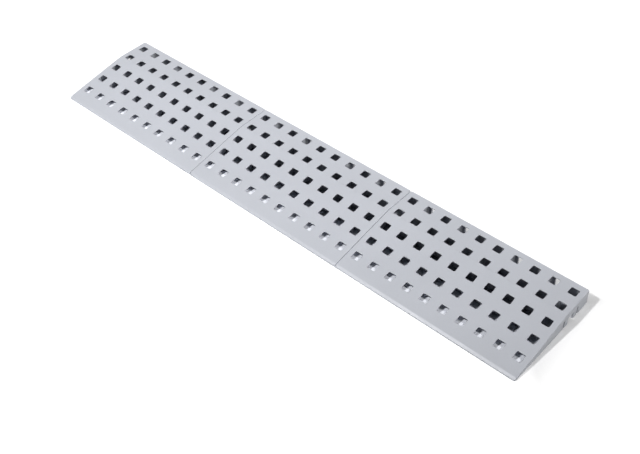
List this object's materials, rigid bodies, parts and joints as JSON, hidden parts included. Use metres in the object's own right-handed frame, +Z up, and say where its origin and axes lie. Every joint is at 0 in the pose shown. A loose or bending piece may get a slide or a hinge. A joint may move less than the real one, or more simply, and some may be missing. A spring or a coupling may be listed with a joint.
{
  "type": "threshold ramp",
  "caption": "Low wedge-shaped threshold ramp of perforated plastic modules side by side, joined by lock keys under the seams, with a level landing, a sloped deck and rubber feet.",
  "frame": {"origin": "on the floor under the middle of the ramp", "axes": "+X along the ramp, +Y towards the high rear edge, +Z up"},
  "size_m": [0.751, 0.145, 0.02],
  "materials": {
    "module_plastic": "fine matt moulded texture, pale blue-grey",
    "key_plastic": "smooth moulded, pale grey",
    "foot_rubber": "soft black rubber"
  },
  "bodies": {
    "left_module": {"left_module": "module_plastic", "left_module_rear_left_foot": "foot_rubber", "left_module_rear_middle_foot": "foot_rubber", "left_module_rear_right_foot": "foot_rubber", "left_module_front_left_foot": "foot_rubber", "left_module_front_middle_foot": "foot_rubber", "left_module_front_right_foot": "foot_rubber"},
    "centre_module": {"centre_module": "module_plastic", "centre_module_rear_left_foot": "foot_rubber", "centre_module_rear_middle_foot": "foot_rubber", "centre_module_rear_right_foot": "foot_rubber", "centre_module_front_left_foot": "foot_rubber", "centre_module_front_middle_foot": "foot_rubber", "centre_module_front_right_foot": "foot_rubber"},
    "right_module": {"right_module": "module_plastic", "right_module_rear_left_foot": "foot_rubber", "right_module_rear_middle_foot": "foot_rubber", "right_module_rear_right_foot": "foot_rubber", "right_module_front_left_foot": "foot_rubber", "right_module_front_middle_foot": "foot_rubber", "right_module_front_right_foot": "foot_rubber"},
    "left_lock_key": {"left_lock_key": "key_plastic"},
    "right_lock_key": {"right_lock_key": "key_plastic"}
  },
  "joints": [
    {"name": "left_module_lift", "type": "slide", "parent": "centre_module", "child": "left_module", "axis": [0, 0, 1], "range_m": [0, 0.03]},
    {"name": "right_module_lift", "type": "slide", "parent": "centre_module", "child": "right_module", "axis": [0, 0, 1], "range_m": [0, 0.03]},
    {"name": "left_key_push_out", "type": "slide", "parent": "centre_module", "child": "left_lock_key", "axis": [0, 0, -1], "range_m": [0, 0.01]},
    {"name": "right_key_push_out", "type": "slide", "parent": "centre_module", "child": "right_lock_key", "axis": [0, 0, -1], "range_m": [0, 0.01]}
  ]
}
